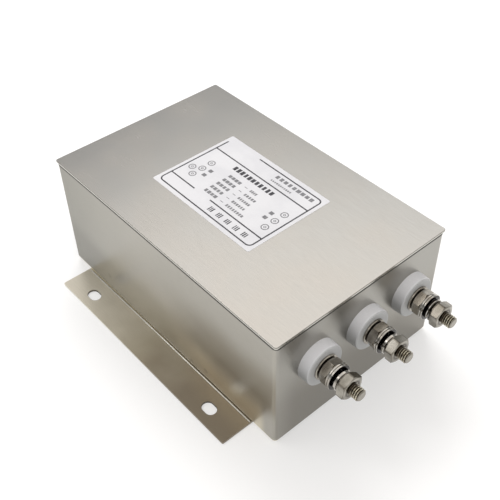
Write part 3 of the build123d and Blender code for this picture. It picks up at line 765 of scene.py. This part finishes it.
def nut_rows(turn):
    """A nut on the X axis from x = 0: a round seat, corners turned to a cone, mouths countersunk."""
    angles = nut_angles()
    turned = [angle + radians(turn) for angle in angles]
    slope = tan(radians(NUT_CONE))
    mouth = NUT_BORE + NUT_MOUTH

    def circle(x, radius):
        return [(x, radius * cos(shown), radius * sin(shown)) for shown in turned]

    def side(base, sign):
        made = []
        for angle, shown in zip(angles, turned):
            reach = hexagon_reach(angle)
            x = base + sign * slope * (reach - NUT_FACE)
            made.append((x, reach * cos(shown), reach * sin(shown)))
        return made

    back = [
        circle(NUT_MOUTH, NUT_BORE), circle(0.0, mouth), circle(0.0, NUT_SEAT_RADIUS - NUT_SEAT_EASE),
        circle(NUT_SEAT_EASE, NUT_SEAT_RADIUS), circle(NUT_SEAT, NUT_SEAT_RADIUS),
        circle(NUT_SEAT, NUT_FACE - NUT_FACE_EASE), circle(NUT_SEAT + NUT_FACE_STEP, NUT_FACE),
        side(NUT_SEAT + NUT_CONE_STEP, 1),
    ]
    front = [
        side(NUT_HEIGHT - NUT_CONE_STEP, -1), circle(NUT_HEIGHT - NUT_FACE_STEP, NUT_FACE),
        circle(NUT_HEIGHT, NUT_FACE - NUT_FACE_EASE), circle(NUT_HEIGHT, mouth),
        circle(NUT_HEIGHT - NUT_MOUTH, NUT_BORE),
    ]
    return back + front


def add_spring(shell, end, y, z, out, high_end):
    """One left-hand turn of wire with eased edges, sprung open at its cut."""
    half_x = SPRING_SHEET / 2
    middle = (SPRING_RADIUS + WASHER_BORE) / 2
    half_r = (SPRING_RADIUS - WASHER_BORE) / 2
    flat_x = half_x - SPRING_EASE
    flat_r = half_r - SPRING_EASE
    section = [
        (-flat_x, -half_r), (-half_x, -flat_r), (-half_x, flat_r), (-flat_x, half_r),
        (flat_x, half_r), (half_x, flat_r), (half_x, -flat_r), (flat_x, -half_r),
    ]
    count = 72
    rows = []
    for k in range(count + 1):
        share = k / count
        angle = radians(high_end) + share * radians(360 - SPRING_GAP)
        x = half_x + SPRING_RISE * (1 - share)
        row = [(x + dx, (middle + dr) * cos(angle), (middle + dr) * sin(angle)) for dx, dr in section]
        rows.append(set_at(end, y, z, out, row))
    shell.loops(rows, closed=False)
    shell.cap(rows[0], flip=True)
    shell.cap(rows[-1], flip=False)


def make_terminal_hardware():
    """The nuts and washers outside the bushings, one piece of each kind at each end."""
    plating = {
        "terminal_nuts": FINISHES["nickel_hardware"],
        "lock_nuts": LOCK_NUT_PLATING,
        "seat_washers": LOCK_NUT_PLATING,
    }
    seat = washer_rows(SEAT_THICKNESS)
    flat = washer_rows(WASHER_THICKNESS)
    kinds = ("seat_washers", "lock_nuts", "flat_washers", "spring_washers", "terminal_nuts")
    for name, end in ENDS:
        shells = {kind: Shell() for kind in kinds}
        for number, y in enumerate(TERMINAL_ROWS):
            stud = (end, y, TERMINAL_Z)
            add_rows(shells["seat_washers"], *stud, SEAT_START, seat)
            add_rows(shells["lock_nuts"], *stud, LOCK_START, nut_rows(LOCK_TURNS[name][number]))
            add_rows(shells["flat_washers"], *stud, FLAT_START, flat)
            add_rows(shells["flat_washers"], *stud, FLAT_START + WASHER_THICKNESS, flat)
            add_rows(shells["terminal_nuts"], *stud, OUTER_START, nut_rows(NUT_TURNS[name][number]))
            add_spring(shells["spring_washers"], *stud, SPRING_START, SPRING_TURNS[name][number])
        for kind, shell in shells.items():
            node = f"{name}_{kind}"
            finish = plating.get(kind, WASHER_PLATING)
            make_piece(node + "_plated", shell, finish, [node])


def make_earth_hardware():
    """The earth stud's nuts and washers, on both sides of the line end's wall."""
    stud = (-1, EARTH_Y, EARTH_Z)
    nuts, washers, spring = Shell(), Shell(), Shell()
    for out, turn in zip((EARTH_INNER_NUT, EARTH_LOCK, EARTH_OUTER), EARTH_TURNS):
        add_rows(nuts, *stud, out, nut_rows(turn))
    for out in (EARTH_INNER_WASHER, 0.0, EARTH_FLAT):
        add_rows(washers, *stud, out, washer_rows(WASHER_THICKNESS))
    add_spring(spring, *stud, EARTH_SPRING, EARTH_SPRING_TURN)
    finishes = (FINISHES["nickel_hardware"], WASHER_PLATING, WASHER_PLATING)
    nodes = ("earth_nuts", "earth_washers", "earth_spring_washer")
    for node, shell, finish in zip(nodes, (nuts, washers, spring), finishes):
        make_piece(node + "_plated", shell, finish, [node])


# Studs

def thread_depth_at(phase):
    """Depth of the thread's groove at a share of its pitch: crest, flank, root, flank."""
    down = min(phase - THREAD_CREST, 1.0 - phase, THREAD_FLANK)
    return THREAD_DEPTH * max(down, 0.0) / THREAD_FLANK


def stud_rows(start, inner_nut, lock_nut, outer_nut, count=40, per_pitch=8):
    """A stud on the X axis: at its pitch radius inside each nut, threaded from the lock nut to its tip."""
    inner, lock, outer = [
        (nut - RUN_OUT, nut + NUT_HEIGHT + RUN_OUT) for nut in (inner_nut, lock_nut, outer_nut)
    ]
    rows = [round_row(start, STUD_RADIUS - STUD_CHAMFER, count)]
    rows.append(round_row(start + STUD_CHAMFER, STUD_RADIUS, count))
    for low, high in (inner, lock):
        rows += [round_row(low, STUD_RADIUS, count), round_row(low, PITCH_RADIUS, count)]
        rows += [round_row(high, PITCH_RADIUS, count), round_row(high, STUD_RADIUS, count)]
    first = lock[1]
    steps = int((STUD_REACH - first) / THREAD_PITCH * per_pitch)
    for k in range(1, steps + 1):
        x = first + (STUD_REACH - TIP_STEP - first) * k / steps
        limit = STUD_RADIUS - max(0.0, x - (STUD_REACH - STUD_CHAMFER))
        if outer[0] <= x <= outer[1]:
            limit = PITCH_RADIUS
        row = []
        for j in range(count):
            angle = tau * j / count
            phase = (x / THREAD_PITCH - angle / tau) % 1.0
            radius = min(limit, STUD_RADIUS - thread_depth_at(phase))
            row.append((x, radius * cos(angle), radius * sin(angle)))
        rows.append(row)
    rows.append(round_row(STUD_REACH, STUD_RADIUS - STUD_CHAMFER - TIP_EASE, count))
    return rows


def make_stud(node, end, y, z, rows):
    shell = Shell()
    placed = [set_at(end, y, z, 0, row) for row in rows]
    shell.loops(placed, closed=False)
    shell.cap(placed[0], flip=True)
    shell.cap(placed[-1], flip=False)
    make_piece(node + "_threaded", shell, FINISHES["stud_metal"], [node], sharp=60.0)


def make_studs():
    rows = stud_rows(STUD_START, INNER_NUT_START, LOCK_START, OUTER_START)
    for name, end in ENDS:
        for number, y in enumerate(TERMINAL_ROWS, 1):
            make_stud(f"{name}_stud_{number}", end, y, TERMINAL_Z, rows)
    earth = stud_rows(EARTH_STUD_START, EARTH_INNER_NUT, EARTH_LOCK, EARTH_OUTER)
    make_stud("earth_stud", -1, EARTH_Y, EARTH_Z, earth)


# The rating label

def quarter(x, y, radius, first, steps):
    """Points on a quarter circle, anticlockwise from an angle in degrees."""
    angles = [radians(first + 90 * k / steps) for k in range(steps + 1)]
    return [(x + radius * cos(a), y + radius * sin(a)) for a in angles]


def rounded_outline(x_low, y_low, x_high, y_high, radius, steps=6):
    """A rectangle with round corners, its points anticlockwise."""
    left, right = x_low + radius, x_high - radius
    low, high = y_low + radius, y_high - radius
    corners = ((right, low, -90), (right, high, 0), (left, high, 90), (left, low, 180))
    return [point for x, y, first in corners for point in quarter(x, y, radius, first, steps)]


def on_label(outline):
    return [(LABEL_MIDDLE[0] + x, LABEL_MIDDLE[1] + y) for x, y in outline]


def make_label_sheet():
    half_x, half_y = LABEL_SIZE[0] / 2, LABEL_SIZE[1] / 2
    outline = rounded_outline(-half_x, -half_y, half_x, half_y, LABEL_CORNER)
    shell = Shell()
    shell.slab(on_label(outline), LID_TOP, LID_TOP + LABEL_THICKNESS)
    make_piece("label_sheet", shell, FINISHES["label_film"], ["rating_label"])


class Print:
    """The printing on the label: bars, rings and lines in one thin layer of ink."""

    def __init__(self):
        self.shell = Shell()
        self.low = LID_TOP + LABEL_THICKNESS
        self.high = self.low + INK_THICKNESS

    def bar(self, x_low, y_low, x_high, y_high, radius=0.12):
        outline = rounded_outline(x_low, y_low, x_high, y_high, radius, 2)
        self.shell.slab(on_label(outline), self.low, self.high)

    def ring(self, x, y, radius, width, count=28):
        outer, inner = (
            [(x + size * cos(tau * j / count), y + size * sin(tau * j / count)) for j in range(count)]
            for size in (radius, radius - width)
        )
        self.shell.frame_strip(on_label(outer), on_label(inner), self.low, self.high)

    def path(self, points, width):
        """A line of even width through points that turn gently."""
        left, right = [], []
        for i, (x, y) in enumerate(points):
            before = points[max(i - 1, 0)]
            after = points[min(i + 1, len(points) - 1)]
            run = Vector((after[0] - before[0], after[1] - before[1])).normalized() * (width / 2)
            left.append((x - run.y, y + run.x))
            right.append((x + run.y, y - run.x))
        for i in range(len(points) - 1):
            piece = [right[i], right[i + 1], left[i + 1], left[i]]
            self.shell.slab(on_label(piece), self.low, self.high)

    def blocks(self, x_low, x_high, y, height, count, share, seed):
        """A row of small upright blocks of uneven width, each on its share of a step."""
        draw = random.Random(seed)
        step = (x_high - x_low) / count
        for k in range(count):
            width = step * share * draw.uniform(0.8, 1.1)
            middle = x_low + step * (k + 0.5)
            tall = height * draw.uniform(0.88, 1.0)
            self.bar(middle - width / 2, y - tall / 2, middle + width / 2, y + tall / 2)


def make_label_print():
    """Border, rules, blocks and rings, laid out from the label's middle."""
    dark, grey = Print(), Print()

    # The border, open along part of its top, and the rules across it
    left, right, bottom, top = -44.6, 44.4, -31.0, 30.6
    corner, line = 3.2, 1.0
    border = [(left, 28.2)]
    border += quarter(left + corner, bottom + corner, corner, 180, 8)
    border += quarter(right - corner, bottom + corner, corner, 270, 8)
    border += quarter(right - corner, top - corner, corner, 0, 8)
    border += [(-15.0, top)]
    dark.path(border, line)
    for x_low, x_high, y in ((left, right, 17.4), (left, -20.4, -21.0), (-4.7, right, -21.0)):
        dark.bar(x_low, y - line / 2, x_high, y + line / 2, 0.05)

    # Three long rows of blocks, then five short ones with a dash in each
    grey.blocks(5.4, 40.6, 26.4, 3.3, 9, 0.74, seed=3)
    grey.blocks(5.8, 25.0, 21.5, 1.6, 11, 0.66, seed=4)
    dark.blocks(-20.0, 18.8, 12.1, 4.1, 11, 0.72, seed=5)
    row_start, row_ends = 5.4, (11.8, 16.4, 16.5, 17.5, 21.8)
    for number, row_end in enumerate(row_ends):
        y = 4.0 - 5.1 * number
        grey.blocks(-15.6, -3.4, y, 2.8, 4, 0.84, seed=10 + number)
        grey.bar(0.2, y - 0.25, 2.8, y + 0.25, 0.08)
        count = max(4, round((row_end - row_start) / 2.0))
        grey.blocks(row_start, row_end, y, 2.3, count, 0.72, seed=20 + number)

    # Rings for the terminals at both ends, two square marks beside each set, and the bottom row
    line_rings = ((-33.4, 3.9), (-33.4, -4.1), (-33.4, -12.4), (-39.4, -7.7))
    load_rings = ((37.7, 4.1), (37.7, -4.1), (37.7, -12.3))
    for x, y in line_rings + load_rings:
        grey.ring(x, y, 2.7, 0.7)
        grey.ring(x, y, 1.0, 0.5, count=12)
    for x, y in ((-27.1, -2.0), (-27.1, -7.6), (31.0, -0.7), (31.0, -6.2)):
        grey.bar(x - 1.6, y - 1.4, x + 1.6, y + 1.4, 0.3)
    for k in range(5):
        x = 2.8 + 7.95 * k
        dark.blocks(x - 2.2, x + 2.2, -26.1, 4.3, 3, 0.6, seed=40 + k)

    make_piece("label_print_dark", dark.shell, DARK_INK, [])
    make_piece("label_print_grey", grey.shell, GREY_INK, [])


# The seam under the lid and the bead at the walls' foot

def make_lid_seam():
    """A dark strip of painted shade in the groove between the lid and the case's bent rim."""
    half_x, half_y = WALL + SEAM_PROUD, CASE_SIDE + SEAM_PROUD
    in_x, in_y = half_x - SEAM_INSET, half_y - SEAM_INSET
    outer = rounded_outline(-half_x, -half_y, half_x, half_y, CASE_CORNER + SEAM_PROUD)
    inner = rounded_outline(-in_x, -in_y, in_x, in_y, SEAM_INNER_CORNER)
    shell = Shell()
    shell.frame_strip(outer, inner, SEAM_LOW, SEAM_HIGH)
    make_piece("lid_seam", shell, SEAM_SHADE, [])


def make_foot_beads():
    """A low rounded bead of solder along each long wall's foot, on the mounting plate."""
    shell = Shell()
    steps = 8
    arc = [pi * k / steps for k in range(steps + 1)]
    low = PLATE_MIDDLE - PLATE_LENGTH / 2 + BEAD_INSET
    high = PLATE_MIDDLE + PLATE_LENGTH / 2 - BEAD_INSET
    tip = BEAD_TIP_SHARE
    for side in (-1, 1):
        rows = []
        for x, size in ((low, tip), (low + BEAD_TAPER, 1.0), (high - BEAD_TAPER, 1.0), (high, tip)):
            row = []
            for angle in arc:
                y = BEAD_MIDDLE + size * BEAD_HALF * cos(angle)
                z = PLATE_TOP + BEAD_LIFT + size * BEAD_HEIGHT * sin(angle)
                row.append((x, side * y, z))
            rows.append(row if side < 0 else row[::-1])
        shell.loops(rows, closed=False)
        shell.cap(rows[0], flip=False)
        shell.cap(rows[-1], flip=True)
    make_piece("foot_beads", shell, FINISHES["tinned_copper"], [], sharp=50.0)


# The carried-over solids

def dress_nodes():
    slots = {row["node"]: row["material_slot"] for row in frame["record"]["subparts"]}
    for name, node in frame["nodes"].items():
        finish = FINISHES[slots[name]]
        if not node.material_slots:
            node.data.materials.append(finish)
        for material_slot in node.material_slots:
            material_slot.material = finish


# Camera, light and floor

def make_camera():
    """The photograph's own view: its bearing, height, tilt and lens."""
    bearing, rise, tilt = radians(CAMERA_BEARING), radians(CAMERA_RISE), radians(CAMERA_TILT)
    back = Vector((sin(bearing) * cos(rise), -cos(bearing) * cos(rise), sin(rise)))
    level = Vector((cos(bearing), sin(bearing), 0.0))
    upright = back.cross(level)
    right = level * cos(tilt) + upright * sin(tilt)
    up = upright * cos(tilt) - level * sin(tilt)
    data = bpy.data.cameras.new("photo_camera")
    data.sensor_width = CAMERA_SENSOR
    data.lens = CAMERA_LENS
    data.clip_start = CAMERA_NEAR * MM
    camera = bpy.data.objects.new("photo_camera", data)
    turn = Matrix((right, up, back)).transposed().to_4x4()
    camera.matrix_world = Matrix.Translation(Vector(CAMERA_PLACE) * MM) @ turn
    bpy.context.scene.collection.objects.link(camera)
    bpy.context.scene.camera = camera


def soft_light(name, place, side, power):
    """A square softbox turned to the object's middle."""
    data = bpy.data.lights.new(name, "AREA")
    data.shape = "RECTANGLE"
    data.size = side * MM
    data.size_y = side * MM
    data.energy = power
    light = bpy.data.objects.new(name, data)
    light.location = Vector(place) * MM
    aim = Vector(LIGHT_TARGET) * MM - light.location
    light.rotation_euler = aim.to_track_quat("-Z", "Y").to_euler()
    bpy.context.scene.collection.objects.link(light)
    return light


def make_lights():
    key = soft_light("key_softbox", (-960.0, 550.0, 1420.0), 900.0, 20.0)
    key.visible_glossy = False
    soft_light("side_softbox", (-800.0, -940.0, 1300.0), 550.0, 1.9)


def make_sky():
    """A pale horizon, a dim band over it and, from about 37 degrees up, a broad bright sky.

    The bright sky starts a little higher behind the line end.
    """
    world = bpy.data.worlds.new("studio")
    world.use_nodes = True
    sky = Nodes(world.node_tree)
    way = sky.node("ShaderNodeTexCoord", output="Generated")
    height = sky.axis(way, "Z") - 0.1 * sky.fit(sky.axis(way, "X"), -0.65, -0.73)
    stops = (
        (0.0, (0.58, 0.58, 0.58)), (0.20, (0.48, 0.48, 0.48)), (0.38, (0.23, 0.23, 0.23)),
        (0.50, (0.23, 0.23, 0.23)), (0.575, (0.36, 0.36, 0.355)), (0.625, (0.90, 0.895, 0.885)),
        (0.78, (0.91, 0.85, 0.79)), (0.92, (0.74, 0.72, 0.70)), (1.0, (0.74, 0.73, 0.72)),
    )
    background = sky.tree.nodes["Background"]
    sky.connect(background.inputs["Color"], sky.node("ShaderNodeValToRGB", {"stops": stops}, {0: height}))
    sky.connect(background.inputs["Strength"], 1.35)
    bpy.context.scene.world = world


def make_floor():
    """A wide flat sheet just under the mounting plate, in even squares."""
    steps = 12
    places = [FLOOR_HALF * (2 * k / steps - 1) for k in range(steps + 1)]
    points = [(x * MM, y * MM, FLOOR_TOP * MM) for y in places for x in places]
    width = steps + 1
    corners = [i * width + j for i in range(steps) for j in range(steps)]
    mesh = bpy.data.meshes.new("studio_floor")
    mesh.from_pydata(points, [], [(k, k + 1, k + width + 1, k + width) for k in corners])
    mesh.materials.append(pale_floor())
    floor_piece = bpy.data.objects.new("studio_floor", mesh)
    bpy.context.scene.collection.objects.link(floor_piece)


make_camera()
make_sky()
make_lights()
make_floor()
dress_nodes()
make_studs()
make_terminal_hardware()
make_earth_hardware()
make_label_sheet()
make_label_print()
make_lid_seam()
make_foot_beads()
bpy.context.scene.view_settings.view_transform = "Standard"
